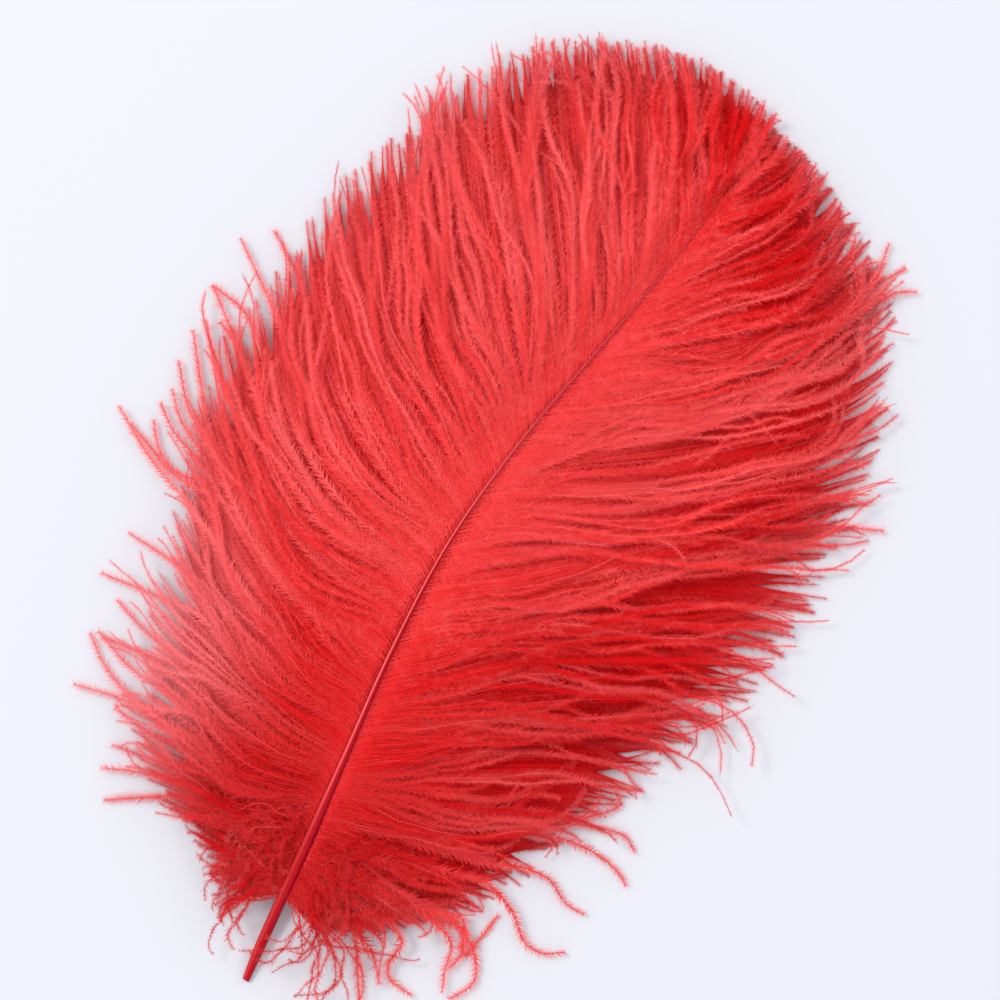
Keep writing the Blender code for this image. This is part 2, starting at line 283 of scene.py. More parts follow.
def vane_height(root_y, t):
    """Height of the vane at share t of the barbs that grow at root_y: shaft, swell, floor."""
    centre, _ = shaft_centre(root_y)
    shaft_z = centre[:, 2][:, None]
    slope = shaft_z * np.maximum(1 - (t / TOUCH_DOWN) ** SLOPE_POWER, 0.0)
    swell = BILLOW * np.sin(np.pi * np.minimum(t / BILLOW_REACH, 1.0))
    return slope + swell * np.minimum(shaft_z / SHAFT_ARCH, 1.0)


def waves(rng, count, t, turns):
    """Smooth random swings from -1 to 1 along t, another for each of count."""
    total = np.zeros((count, len(t)))
    for share, pace in ((0.65, 1.0), (0.35, 2.3)):
        pace = turns * pace * rng.uniform(0.7, 1.3, (count, 1))
        total += share * np.sin(2 * np.pi * (pace * t + rng.random((count, 1))))
    return total


def drift(rng, at, t, pace, columns):
    """Smooth random numbers, mostly from -1 to 1, over places and shares t: neighbours drift alike."""
    row = (at - at.min())[:, None] / pace
    column = np.broadcast_to(np.asarray(t) * columns, (len(at), np.shape(t)[-1]))
    grid = rng.normal(0, 0.7, (int(row.max()) + 2, columns + 2))
    i, j = row.astype(int), column.astype(int)
    f, g = ramp(row - i, 0, 1), ramp(column - j, 0, 1)
    near = grid[i, j] * (1 - f) + grid[i + 1, j] * f
    far = grid[i, j + 1] * (1 - f) + grid[i + 1, j + 1] * f
    return near * (1 - g) + far * g


def plan_lines(guides, side, root_y, turn):
    """Barb lines in plan, from the guides' headings plus turn, in degrees, at each of PATH_STEPS points."""
    t = np.linspace(0, 1, PATH_STEPS)
    rows = between(guides, root_y)
    tip, headings = rows[:, :2], rows[:, 2:]
    basis = between(np.column_stack([HEADING_SHARES, np.eye(len(HEADING_SHARES))]), t)
    centre, _ = shaft_centre(root_y)
    root = centre[:, :2]

    def follow(degrees):
        angle = np.radians(degrees)
        way = np.stack([side * np.sin(angle), np.cos(angle)], -1)
        steps = (way[:, 1:] + way[:, :-1]) / 2 / (PATH_STEPS - 1)
        return np.concatenate([np.zeros((len(way), 1, 2)), np.cumsum(steps, 1)], 1)

    plain = follow(headings @ basis.T)
    length = np.linalg.norm(tip - root, axis=1) / np.linalg.norm(plain[:, -1], axis=1)
    plain *= length[:, None, None]
    miss = (tip - root - plain[:, -1])[:, None, :] * (t**2)[None, :, None]
    swung = follow(headings @ basis.T + turn) * length[:, None, None]
    return root[:, None, :] + swung + miss


def read_along(lines, at):
    """Points of lines, which run over shares 0 to 1, at other shares, given per line."""
    place = np.clip(at, 0.0, 1.0) * (lines.shape[1] - 1)
    low = np.minimum(place.astype(int), lines.shape[1] - 2)
    part = (place - low)[..., None]
    row = np.arange(len(lines))[:, None]
    return lines[row, low] * (1 - part) + lines[row, low + 1] * part


def lengths(lines):
    """How long each line is."""
    return np.linalg.norm(np.diff(lines, axis=1), axis=2).sum(1)


def root_places(guides, side, place):
    """y of the barbs' roots: closer together where the barbs fan out over a wide stretch of the vane."""
    y = np.linspace(guides[0][0], guides[-1][0], 300)
    lines = plan_lines(guides, side, y, 0.0)[:, (0, PATH_STEPS // 2, -1)]
    apart = np.linalg.norm(np.diff(lines, axis=0), axis=2).cumsum(0)
    share = (apart / apart[-1]) @ (0.4, 0.3, 0.3)
    return np.interp(place, np.append(0.0, share), y)


def groups(rng, count, smallest, largest):
    """Splits count barbs into neighbouring groups of random size. Gives each barb's group."""
    sizes = rng.integers(smallest, largest + 1, count)
    return np.repeat(np.arange(count), sizes)[:count]


def group_means(values, group):
    """The mean of each group's values, given back to every member."""
    total = np.zeros((group.max() + 1,) + values.shape[1:])
    np.add.at(total, group, values)
    size = np.maximum(np.bincount(group), 1).reshape((-1,) + (1,) * (values.ndim - 1))
    return (total / size)[group]


class Barbs:
    """A set of barbs.

    At each point: the centre line, the share of a full barb, and the roll in degrees. For each barb: its
    tone from deep to light, the scale of its barbules' length and of their width, how far they stand out in
    degrees, where they stop, half the width of the mat below, and the share of the barb where the mat ends.
    """

    def __init__(self, lines, share, roll, tone, fuzz, bold, stand, stop, mat, matted):
        self.lines, self.share, self.roll, self.tone = lines, share, roll, tone
        self.fuzz, self.bold, self.stand, self.stop = fuzz, bold, stand, stop
        self.mat, self.matted = mat, matted

    def pick(self, chosen):
        return Barbs(*(values[chosen] for values in vars(self).values()))


def lying_barbs(guides, fringe, side, settings, rng):
    """One vane's barbs."""
    count = settings.barbs
    first = guides[0][0]
    root_y = root_places(guides, side, (np.arange(count) + 0.5 + rng.uniform(-0.3, 0.3, count)) / count)
    lock = groups(rng, count, *LOCK_SIZES)
    locks = lock.max() + 1
    brush = np.cumsum(np.diff(lock, prepend=0) + (rng.random(count) < NEW_BRUSH) > 0)
    under = ((np.arange(count) * settings.under) % 1 < settings.under)[:, None]

    # How far each barb reaches.
    ragged, curl, matted, gather = between(fringe, root_y).T[:, :, None]
    short = 0.35 * rng.random((locks, 1))[lock] ** 1.5 + 0.85 * rng.random((count, 1)) ** 1.1
    short = np.where(under, 0.50 + 0.40 * rng.random((count, 1)), short)
    reach = np.minimum(1.04 - ragged * short, 1.0)
    brief = (rng.random((count, 1)) < settings.brief)[brush] & ~under
    reach *= np.where(brief, rng.uniform(*BRIEF_REACH, (count, 1))[brush], 1.0)

    # How it turns off the guides at each point.
    t = np.linspace(0, 1, PATH_STEPS)
    grown = ramp(t, 0.02, 0.12)
    lock_turn = settings.lock_swing * waves(rng, locks, t, 1.1) * grown
    at_tip = ramp(root_y, 0.25, 0.30)[:, None]
    barb_turn = settings.barb_swing * waves(rng, count, t, 2.6) * (grown + 0.5 * ramp(t, 0.6, 0.95))
    barb_turn += 0.6 * settings.barb_swing * waves(rng, count, t, 7.0) * grown * (1 - ramp(t, 0.5, 0.9))
    barb_turn += settings.tip_spread * rng.normal(0, 1, (count, 1)) * ramp(t, 0.45, 0.95)
    brush_turn = settings.brush_swing * waves(rng, brush.max() + 1, t, 3.0) * ramp(t, 0.25, 0.6)
    barb_turn += curl * rng.normal(0, 1, (count, 1)) * ramp(t / reach, 0.72, 1.0) ** 1.5
    flow = drift(rng, root_y, t, 0.013, 4) + drift(rng, root_y, t, 0.005, 8)
    flow_turn = settings.flow * np.where(under, 0.15, 1.0) * flow * grown
    stray = (rng.random(count) < settings.strays)[:, None] & ~under
    stray_turn = np.where(stray, rng.choice([-1, 1], (count, 1)) * rng.uniform(*STRAY_TURN, (count, 1)), 0.0)
    turn = np.where(under, 0.1, 1.0) * lock_turn[lock] * (1 - 0.7 * at_tip)
    turn += np.where(under, 0.2, 1.0) * barb_turn + ~under * brush_turn[brush]
    turn += flow_turn + stray_turn * ramp(t, 0.15, 0.7)
    lines = plan_lines(guides, side, root_y, turn)

    # How barbs draw together into locks and brushes.
    joins = ~(stray | under)
    together = gather * ramp(t, 0.4, 0.75) * (1 - 0.5 * ramp(t, 0.85, 1.0))
    lines += (group_means(lines, lock) - lines) * (joins * together)[:, :, None]
    pinched = (0.5 * ramp(t, 0.04, 0.2) + 0.3 * ramp(t, 0.5, 0.8)) * (1 - 0.4 * ramp(t, 0.85, 1.0))
    lines += (group_means(lines, brush) - lines) * (joins * pinched)[:, :, None]

    own = np.linspace(0, 1, BARB_STEPS)
    share = reach * own
    plan = read_along(lines, share)

    # How high they lie.
    number = np.arange(count)[:, None]
    half = np.maximum(np.bincount(lock)[lock] / 2, 1.0)[:, None]
    crown = 1 - ((number - group_means(number.astype(float), lock)) / half) ** 2
    rise = rng.uniform(0.0, 0.0028, (locks, 1))[lock] + crown * rng.uniform(0.0008, 0.0026, (locks, 1))[lock]
    rise = np.where(under, UNDER_LIFT, rise + rng.uniform(0.0008, 0.0030, (count, 1)))
    swell = 0.0013 * drift(rng, root_y, share, 0.010, 5)
    flutter = 0.0010 * waves(rng, count, own, 2.0)
    lift = rng.uniform(0, 0.004, (locks, 1))[lock] + rng.uniform(0, 0.004, (count, 1))
    lift = np.where(under, 0.3 * lift, lift) + np.where(stray | brief, 0.002, 0.0)
    z = vane_height(root_y, share)
    rise = rise * ramp(share, 0.03, 0.25) * (0.5 + 0.8 * ramp(share, 0.35, 0.65))
    z += rise * (1 - 0.6 * ramp(share, 0.75, 1.0))
    z += (flutter + swell) * ramp(share, 0.05, 0.25) + lift * ramp(share, 0.6, 1.0)
    _, radius = shaft_centre(root_y)
    join = np.stack([side * 0.8 * radius, np.zeros(count)], -1)
    plan += join[:, None, :] * (1 - ramp(share, 0.0, 0.05))[:, :, None]
    z -= (0.4 * radius)[:, None] * (1 - ramp(share, 0.0, 0.04))
    points = np.dstack([plan, np.maximum(z, settings.thickness)])
    roll = settings.twist * waves(rng, count, own, 1.1) * ramp(share, 0.04, 0.25)

    # Their dye and their barbules.
    tone = 0.15 + 0.95 * rng.beta(0.6, 0.5, (locks, 1))[lock]
    # The lower layer is painted deep, as painted shade beneath the locks.
    tone = np.where(under, 0.2, tone) * rng.uniform(0.75, 1.0, (count, 1))
    # A few brushes are painted paler, as painted highlights.
    tone += np.where((rng.random((count, 1)) < PAINTED_HIGHLIGHT_BRUSHES)[brush], 0.35, 0.0)
    under = under[:, 0]
    fuzz = rng.uniform(0.75, 1.25, count) * np.where(under, 1.15, 1.0)
    stand = np.where(under, 12.0, 20.0)
    stop = rng.uniform(0.985, 1.0, count)
    mat = np.where(under, MAT_HALF_WIDTH * ramp(root_y, first - 0.004, first + 0.012), 0.0)
    return Barbs(points, share, roll, tone[:, 0], fuzz, np.ones(count), stand, stop, mat, matted[:, 0])


def loose_barbs(rng):
    """The barbs of LOOSE: each follows its vane's guides until it leaves its neighbours."""
    share = np.linspace(0, 1, CURL_STEPS)
    plan = []
    for root_y, *path in LOOSE:
        side, guides = (LEFT, LEFT_GUIDES) if path[0][0] < 0 else (RIGHT, RIGHT_GUIDES)
        line = plan_lines(guides, side, np.array([root_y]), 0.0)[0]
        leave = np.linalg.norm(line - path[0], axis=1).argmin()
        path = np.concatenate([line[: leave - 3 : 6], path])
        walked = np.append(0.0, np.cumsum(np.linalg.norm(np.diff(path, axis=0), axis=1)))
        plan.append(between(np.column_stack([walked / walked[-1], path]), share))
    root_y = np.array([row[0] for row in LOOSE])
    count = len(root_y)
    rise = rng.uniform(0.0006, 0.0026, (count, 1)) * ramp(share, 0.1, 0.5)
    z = vane_height(root_y, share) + rise + rng.uniform(0, 0.002, (count, 1)) * share
    lines = np.dstack([np.array(plan), z])
    roll = 20 * waves(rng, count, share, 1.5)
    one = np.ones(count)
    return Barbs(
        lines, share * one[:, None], roll, 1.0 * one, 1.45 * one, 1.4 * one, 10.0 * one, one, 0.0 * one, one
    )


def quill_down(settings, rng):
    """Short downy barbs that curl round the quill, on both sides."""
    count = settings.down
    t = np.linspace(0, 1, CURL_STEPS)
    root_y = rng.uniform(settings.down_from, settings.down_to, count)
    side = rng.choice([LEFT, RIGHT], count)[:, None]
    length = settings.down_length * rng.uniform(0.5, 1.2, (count, 1)) * np.where(side == RIGHT, 1.5, 1.0)
    curl = settings.down_curl * rng.uniform(0.3, 1.0, (count, 1)) * rng.choice([-1, 1], (count, 1))
    turn = np.radians(rng.uniform(60, 125, (count, 1)) + curl * t**1.4 + 30 * waves(rng, count, t, 1.8))
    centre, radius = shaft_centre(root_y)
    step = np.stack([side * np.sin(turn), np.cos(turn)], -1) * (length / (CURL_STEPS - 1))[:, :, None]
    plan = centre[:, None, :2] + np.cumsum(step, 1)
    plan[:, :, 0] += side * 0.7 * radius[:, None]
    away = np.abs(plan[:, :, 0] - centre[:, :1]) / 0.075
    bulge = rng.uniform(0.0005, 0.0030, (count, 1)) * np.sin(np.pi * np.minimum(1.2 * t, 1.0))
    z = vane_height(root_y, away) + bulge + 0.0016 * ramp(t, 0.0, 0.3)
    one = np.ones(count)
    return Barbs(
        np.dstack([plan, z]), t * one[:, None], 50 * waves(rng, count, t, 1.2),
        rng.uniform(0.1, 1.1, count), rng.uniform(0.8, 1.1, count), one, 35.0 * one, one, 0.0 * one, one,
    )


def axes_along(lines, roll):
    """Unit vectors along each line, out to its right, and up, at every point, turned about it by roll."""
    along = np.gradient(lines, axis=1)
    along /= np.linalg.norm(along, axis=2, keepdims=True) + 1e-12
    right = np.cross(along, (0.0, 0.0, 1.0))
    right /= np.linalg.norm(right, axis=2, keepdims=True) + 1e-12
    up = np.cross(right, along)
    turn = np.radians(roll)[..., None]
    return along, np.cos(turn) * right + np.sin(turn) * up, np.cos(turn) * up - np.sin(turn) * right


def barb_tubes(lines, thick):
    """Three-sided tubes along the lines. thick is the radius at every point."""
    count, steps, _ = lines.shape
    _, right, up = axes_along(lines, np.zeros((count, steps)))
    ring = []
    for k in range(3):
        turn = math.radians(90 + 120 * k)
        ring.append(lines + thick[..., None] * (math.cos(turn) * right + math.sin(turn) * up))
    points = np.stack(ring, 2).reshape(-1, 3)
    number = np.arange(count * steps * 3).reshape(count, steps, 3)
    near, far = number[:, :-1], number[:, 1:]
    turn = [1, 2, 0]
    faces = [
        np.stack([near, far, near[..., turn]], -1),
        np.stack([far, far[..., turn], near[..., turn]], -1),
    ]
    return points, np.concatenate([f.reshape(-1, 3) for f in faces])


def barbule_pairs(barbs, settings, rng):
    """Pairs of barbules, one to each side of a barb: a thin triangle each, on a base that they share."""
    lines = barbs.lines
    count, steps, _ = lines.shape
    along, right, up = axes_along(lines, barbs.roll)
    many = np.maximum((lengths(lines) / settings.pitch).astype(int), 2)
    barb = np.repeat(np.arange(count), many)
    order = np.arange(many.sum()) - np.repeat(np.cumsum(many) - many, many)
    place = 0.015 + 0.985 * ((order + rng.random(len(barb))) / many[barb]) ** 0.8
    place = place * barbs.stop[barb] * (steps - 1)
    low = np.minimum(place.astype(int), steps - 2)
    part = (place - low)[:, None]

    def here(values):
        return values[barb, low] * (1 - part) + values[barb, low + 1] * part

    root, ahead, aside, above = here(lines), here(along), here(right), here(up)
    t = here(barbs.share[..., None])[:, 0]
    done = place / (steps - 1)
    size = between(BARBULE_SIZES, done)[:, 0]
    tips, painted_tilt_light_shade = [], []
    for way in (-1, 1):
        long = size * rng.uniform(0.65, 1.2, len(barb)) * settings.barbule_length * barbs.fuzz[barb]
        lean = np.radians(32 + 18 * ramp(done, 0.45, 0.95) + rng.normal(0, 12, len(barb)))
        tilt = rng.normal(0, 1, len(barb))
        # How far the barbule tilts up, around 0.5. It paints barbules that tilt down deeper, as painted
        # shade, and those that tilt up lighter, as painted highlight.
        painted_tilt_light_shade.append(0.5 + 0.25 * tilt)
        tilt = np.radians(8 + tilt * (barbs.stand[barb] + 12 * ramp(done, 0.55, 1.0)))
        out = way * np.cos(tilt)[:, None] * aside + np.sin(tilt)[:, None] * above
        tips.append(root + long[:, None] * (np.cos(lean)[:, None] * ahead + np.sin(lean)[:, None] * out))
    half = settings.barbule_width / 2 * barbs.bold[barb] * (1 - 0.4 * ramp(done, 0.6, 0.95))
    half = ahead * half[:, None]
    points = np.stack([root - half, root + half, *tips], 1)
    points[..., 2] = np.maximum(points[..., 2], BARBULE_CLEARANCE)
    number = np.arange(len(barb) * 4).reshape(-1, 4)
    faces = np.concatenate([number[:, [0, 1, 2]], number[:, [1, 0, 3]]])
    painted_tilt_light_shade = np.stack([sum(painted_tilt_light_shade) / 2, sum(painted_tilt_light_shade) / 2, *painted_tilt_light_shade], 1)
    return points.reshape(-1, 3), faces, barb, t, done, painted_tilt_light_shade


def barb_mats(barbs):
    """A flat ribbon under each barb that has one: the lowest barbules, which lie matted together, and which
    paint_mats darkens as painted shade between the locks.
    """
    barbs = barbs.pick(barbs.mat > 0)
    lines = barbs.lines
    count, steps, _ = lines.shape
    if not count:
        return np.zeros((0, 3)), np.zeros((0, 3), int)
    _, right, up = axes_along(lines, 0.25 * barbs.roll)
    done = np.linspace(0, 1, steps)
    wide = barbs.mat[:, None] * (0.3 + 0.7 * ramp(done, 0.0, 0.06))
    wide = wide * (1 - ramp(done, barbs.matted[:, None] - 0.15, barbs.matted[:, None]))
    sunk = lines - (0.0006 + 0.0014 * ramp(done, 0.0, 0.15))[None, :, None] * up
    points = np.stack([sunk - wide[..., None] * right, sunk + wide[..., None] * right], 2)
    points[..., 2] = np.maximum(points[..., 2], MAT_CLEARANCE)
    number = np.arange(count * steps * 2).reshape(count, steps, 2)
    near, far = number[:, :-1], number[:, 1:]
    faces = [
        np.stack([near[..., 0], near[..., 1], far[..., 1]], -1),
        np.stack([near[..., 0], far[..., 1], far[..., 0]], -1),
    ]
    return points.reshape(-1, 3), np.concatenate([f.reshape(-1, 3) for f in faces])


def joined_mesh(name, points, faces, marks):
    """One object from arrays: its points, its triangles, and a number per point for each of the marks."""
    mesh = bpy.data.meshes.new(name)
    mesh.vertices.add(len(points))
    mesh.vertices.foreach_set("co", (points + PLACE).astype(np.float32).ravel())
    mesh.loops.add(faces.size)
    mesh.loops.foreach_set("vertex_index", faces.astype(np.int32).ravel())
    mesh.polygons.add(len(faces))
    mesh.polygons.foreach_set("loop_start", np.arange(0, faces.size, 3, dtype=np.int32))
    mesh.polygons.foreach_set("use_smooth", np.ones(len(faces), bool))
    for mark, values in marks.items():
        if mark == "uv":
            layer = mesh.uv_layers.new(name="OFBake")
            layer.uv.foreach_set("vector", values[faces.ravel()].astype(np.float32).ravel())
        else:
            mesh.attributes.new(mark, "FLOAT", "POINT").data.foreach_set("value", values.astype(np.float32))
    mesh.update(calc_edges=True)
    obj = bpy.data.objects.new(name, mesh)
    bpy.context.collection.objects.link(obj)
    return obj


def stands_for_feather(obj):
    """Ties a finished piece to the frame."""
    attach(obj, "root")
    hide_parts("feather")


def feathered_piece(name, barbs, settings, rng):
    """One piece: barbs with their barbules."""
    count, steps, _ = barbs.lines.shape
    done = np.linspace(0, 1, steps)
    thick = settings.thickness * (1 - 0.55 * done) * np.ones((count, 1))
    tube_points, tube_faces = barb_tubes(barbs.lines, thick)
    points, faces, barb, t, along, painted_tilt_light_shade = barbule_pairs(barbs, settings, rng)
    mat_points, mat_faces = barb_mats(barbs)
    strand = rng.random(count)
    has_mat = barbs.mat > 0

    def spread(on_tube, on_barbule):
        on_mat = on_tube.reshape(count, steps)[has_mat]
        if on_barbule.ndim == 1:
            on_barbule = np.repeat(on_barbule, 4)
        parts = (np.repeat(on_tube.ravel(), 3), on_barbule.ravel(), np.repeat(on_mat.ravel(), 2))
        return np.concatenate(parts)

    def mark_points(on_tube, on_barbule, on_mat):
        return np.concatenate(
            [
                np.full(len(tube_points), on_tube),
                np.tile(on_barbule, len(barb)),
                np.tile(on_mat, has_mat.sum() * steps),
            ]
        )

    fluff = mark_points(0.0, [0.0, 0.0, 1.0, 1.0], [0.5, 0.5])
    number = spread(np.repeat(np.arange(count), steps), barb)
    out = mark_points(0.0, [0.0, 0.0, -1.0, 1.0], [-1.0, 1.0])
    shift = mark_points(0.0, [-1.0, 1.0, 0.0, 0.0], [0.0, 0.0])
    along_all = spread(np.tile(done, count), along)
    marks = {
        "along": spread(barbs.share, t),
        "fluff": fluff,
        # On barbules the strand mark is mostly their tilt, which carries painted highlight and painted shade.
        "strand": spread(np.repeat(strand, steps), 0.4 * strand[barb][:, None] + 0.6 * painted_tilt_light_shade),
        "tone": spread(np.repeat(barbs.tone, steps), barbs.tone[barb]),
        "uv": np.stack(
            [0.01 + 0.98 * along_all + 0.006 * shift, (number + 0.5 + 0.42 * out) / count], -1
        ),
    }
    obj = joined_mesh(
        name,
        np.concatenate([tube_points, points, mat_points]),
        np.concatenate(
            [tube_faces, faces + len(tube_points), mat_faces + len(tube_points) + len(points)]
        ),
        marks,
    )
    for material, paint in BARB_MATERIALS.items():
        obj.data.materials.append(dyed_material(material, paint))
    kind = np.zeros(len(obj.data.polygons), np.int32)
    kind[: len(tube_faces)] = 1
    kind[len(tube_faces) + len(faces) :] = 2
    obj.data.polygons.foreach_set("material_index", kind)
    stands_for_feather(obj)
    return obj


def add_vane(name, guides, fringe, side, settings):
    """One vane in several pieces, from the quill to the tip."""
    rng = np.random.default_rng(settings.seed + side)
    barbs = lying_barbs(guides, fringe, side, settings, rng)
    size = lengths(barbs.lines).cumsum()
    piece_of = np.minimum((size / size[-1] * len(VANE_PIECES)).astype(int), len(VANE_PIECES) - 1)
    for k, part in enumerate(VANE_PIECES):
        feathered_piece(f"{name}_{part}", barbs.pick(piece_of == k), settings, rng)


class Nodes:
    """A short way to add nodes to a material and link them."""

    def __init__(self, material):
        self.tree = material.node_tree
        self.shader = self.tree.nodes["Principled BSDF"].inputs

    def add(self, kind, **links):
        node = self.tree.nodes.new(kind)
        for name, value in links.items():
            self.feed(node.inputs[name.replace("_", " ")], value)
        return node

    def feed(self, socket, value):
        """Links the socket to another, or sets it to a number or to the dye's colour of that name."""
        if isinstance(value, bpy.types.NodeSocket):
            self.tree.links.new(value, socket)
        elif isinstance(value, str):
            socket.default_value = (*getattr(bpy.context.scene.plume_dye, value), 1.0)
        else:
            socket.default_value = value

    def math(self, operation, a, b):
        node = self.tree.nodes.new("ShaderNodeMath")
        node.operation = operation
        self.feed(node.inputs[0], a)
        self.feed(node.inputs[1], b)
        return node.outputs[0]

    def mix(self, factor, a, b):
        node = self.tree.nodes.new("ShaderNodeMix")
        node.data_type = "RGBA"
        self.feed(node.inputs["Factor"], factor)
        self.feed(node.inputs["A"], a)
        self.feed(node.inputs["B"], b)
        return node.outputs["Result"]

    def mark(self, name):
        node = self.tree.nodes.new("ShaderNodeAttribute")
        node.attribute_name = name
        return node.outputs["Fac"]

    def range(self, value, low, high, to_low, to_high):
        node = self.tree.nodes.new("ShaderNodeMapRange")
        node.interpolation_type = "SMOOTHSTEP"
        for socket, number in zip(node.inputs[:5], (value, low, high, to_low, to_high)):
            self.feed(socket, number)
        return node.outputs["Result"]

    def tint(self, colour, value, low, high, amount, into):
        """Turns the colour into another, by up to amount, as value goes from low to high."""
        return self.mix(self.range(value, low, high, 0.0, amount), colour, into)

    def coordinates(self, kind):
        return self.add("ShaderNodeTexCoord").outputs[kind]

    def noise(self, place, scale, detail):
        return self.add("ShaderNodeTexNoise", Vector=place, Scale=scale, Detail=detail).outputs["Fac"]

    def streaks(self, place, stretch, scale, detail):
        """Noise that is drawn out along the axis whose stretch is smallest."""
        mapping = self.add("ShaderNodeMapping", Vector=place, Scale=stretch)
        return self.noise(mapping.outputs["Vector"], scale, detail)

    def surface(self, colour, roughness, specular):
        self.feed(self.shader["Base Color"], colour)
        self.feed(self.shader["Roughness"], roughness)
        self.feed(self.shader["Specular IOR Level"], specular)


def dyed_colour(nodes):
    """Scarlet with deeper and lighter patches, tufts, locks and strands, with painted light and shade. The
    lower layer and barbules that tilt down are deeper, and barbules that tilt up and a few brushes are
    lighter. The places of COLOUR_DRIFT and a slope from lighter on the left to deeper towards the quill add
    more.
    """
    place = nodes.coordinates("Object")
    tufts = nodes.noise(place, 330.0, 2.0)
    strand = nodes.mark("strand")
    tone = nodes.math("SUBTRACT", nodes.mark("tone"), MIDDLE_TONE)
    tone = nodes.math("MULTIPLY", tone, nodes.range(nodes.mark("along"), 0.1, 0.5, 0.4, 1.0))
    tone = nodes.math("ADD", tone, MIDDLE_TONE)
    colour = nodes.tint("scarlet", nodes.noise(place, 26.0, 4.0), 0.42, 0.66, 0.4, "deep")
    for value, low, high, amount, into in (
        (tufts, 0.5, 0.68, 0.5, "deep"),
        (tufts, 0.48, 0.34, 0.4, "light"),
        # Low tones: locks that are deeper at random, and the painted shade of the lower layer.
        (tone, 0.45, 0.15, 0.9, "deep"),
        (tone, 0.45, 1.0, 0.55, "light"),
        # Pale: the few brushes painted paler as painted highlights.
        (tone, 1.0, 1.4, 0.5, "pale"),
        # strand: a barb's own tone at random, and on barbules their tilt, which gives painted shade where
        # they tilt down and painted highlight where they tilt up.
        (strand, 0.5, 0.1, 0.6, "deep"),
        (strand, 0.6, 0.9, 0.6, "light"),
    ):
        colour = nodes.tint(colour, value, low, high, amount, into)
    for centre, inner, outer, amount, into in COLOUR_DRIFT:
        away = nodes.add("ShaderNodeVectorMath")
        away.operation = "DISTANCE"
        nodes.feed(away.inputs[0], place)
        nodes.feed(away.inputs[1], centre)
        colour = nodes.tint(colour, away.outputs["Value"], outer, inner, amount, into)
    axis = nodes.add("ShaderNodeSeparateXYZ", Vector=place).outputs
    # Painted shade: deeper towards the quill. Painted light: lighter on the left, as from the key on the
    # upper left.
    colour = nodes.tint(colour, axis["Y"], 0.02, -0.10, 0.25, "deep")
    return nodes.tint(colour, axis["X"], -0.045, -0.10, 0.38, "light")


def paint_barbules(nodes):
    """Soft barbules: matt, and paler at their tips, as painted light coming through the thin barbules."""
    fluff, along, strand = nodes.mark("fluff"), nodes.mark("along"), nodes.mark("strand")
    # Painted light coming through: thin barbule tips turn light red, and at the fringe pale.
    thin = nodes.math("MULTIPLY", nodes.range(nodes.mark("tone"), 0.1, 0.8, 0.05, 0.32), fluff)
    outer = nodes.math("MULTIPLY", nodes.range(along, 0.7, 1.0, 0.0, 0.6), fluff)
    colour = nodes.mix(outer, nodes.mix(thin, dyed_colour(nodes), "light"), "pale")
    nodes.surface(colour, nodes.range(strand, 0.0, 1.0, 0.5, 0.7), 0.02)


def paint_barbs(nodes):
    """Barbs: smoother than their barbules, so that they catch the light as fine lines. They are also painted
    paler near the shaft and on a few strands, as painted highlights.
    """
    along, strand = nodes.mark("along"), nodes.mark("strand")
    # Painted highlight: light red near the shaft, so the barbs show as fine bright lines.
    colour = nodes.mix(nodes.range(along, 0.01, 0.08, 0.2, 0.0), dyed_colour(nodes), "light")
    # Painted highlight: a few strands turn pale.
    colour = nodes.tint(colour, strand, 0.8, 0.95, 0.3, "pale")
    colour = nodes.tint(colour, along, 0.5, 0.1, 0.6, "scarlet")
    colour = nodes.tint(colour, along, 0.6, 0.92, 0.85, "core")
    nodes.surface(colour, nodes.range(strand, 0.0, 1.0, 0.35, 0.55), 0.1)


def paint_mats(nodes):
    """Matted barbules below the barbs, darkened as painted shade in the gaps between locks: deep red, with
    fine streaks along the barb.
    """
    streaks = nodes.streaks(nodes.coordinates("UV"), (30.0, 900.0, 1.0), 1.0, 3.0)
    nodes.surface(nodes.mix(streaks, "shaft", "deep"), 0.75, 0.02)


def paint_shaft(nodes):
    """Satin, with faint lengthwise streaks, a painted highlight along its left edge, painted shade on its
    right flank, and mauve at the tip.
    """
    place = nodes.coordinates("Object")
    streaks = nodes.streaks(place, (1.0, 0.02, 1.0), 2600.0, 2.0)
    along = nodes.add("ShaderNodeSeparateXYZ", Vector=place).outputs["Y"]
    flank = nodes.mark("flank")
    colour = nodes.mix(nodes.math("MULTIPLY", streaks, 0.3), "shaft", "deep")
    # Painted shade: the right flank turns towards the deep colour of the barb core.
    colour = nodes.tint(colour, flank, 0.0, 0.7, 0.8, "core")
    # Painted highlight: a narrow band of light red along the left edge, fainter near the quill.
    edge = nodes.range(flank, -1.0, -0.7, 0.0, 1.0)
    painted_highlight = nodes.math("MULTIPLY", edge, nodes.range(flank, -0.05, -0.5, 0.0, 1.0))
    painted_highlight = nodes.math("MULTIPLY", painted_highlight, nodes.range(along, -0.13, -0.06, 0.2, 1.0))
    colour = nodes.mix(painted_highlight, colour, "light")
    colour = nodes.tint(colour, along, -0.03, 0.04, 0.85, "mauve")
    nodes.surface(colour, nodes.range(streaks, 0.3, 0.7, 0.22, 0.38), 0.06)
    nodes.shader["Coat Weight"].default_value = 0.1
    nodes.shader["Coat Roughness"].default_value = 0.13
    bump = nodes.add("ShaderNodeBump", Strength=0.1, Distance=0.0001, Height=streaks)
    nodes.feed(nodes.shader["Normal"], bump.outputs["Normal"])


BARB_MATERIALS = {"dyed_barbules": paint_barbules, "dyed_barbs": paint_barbs, "dyed_mats_painted_shade": paint_mats}


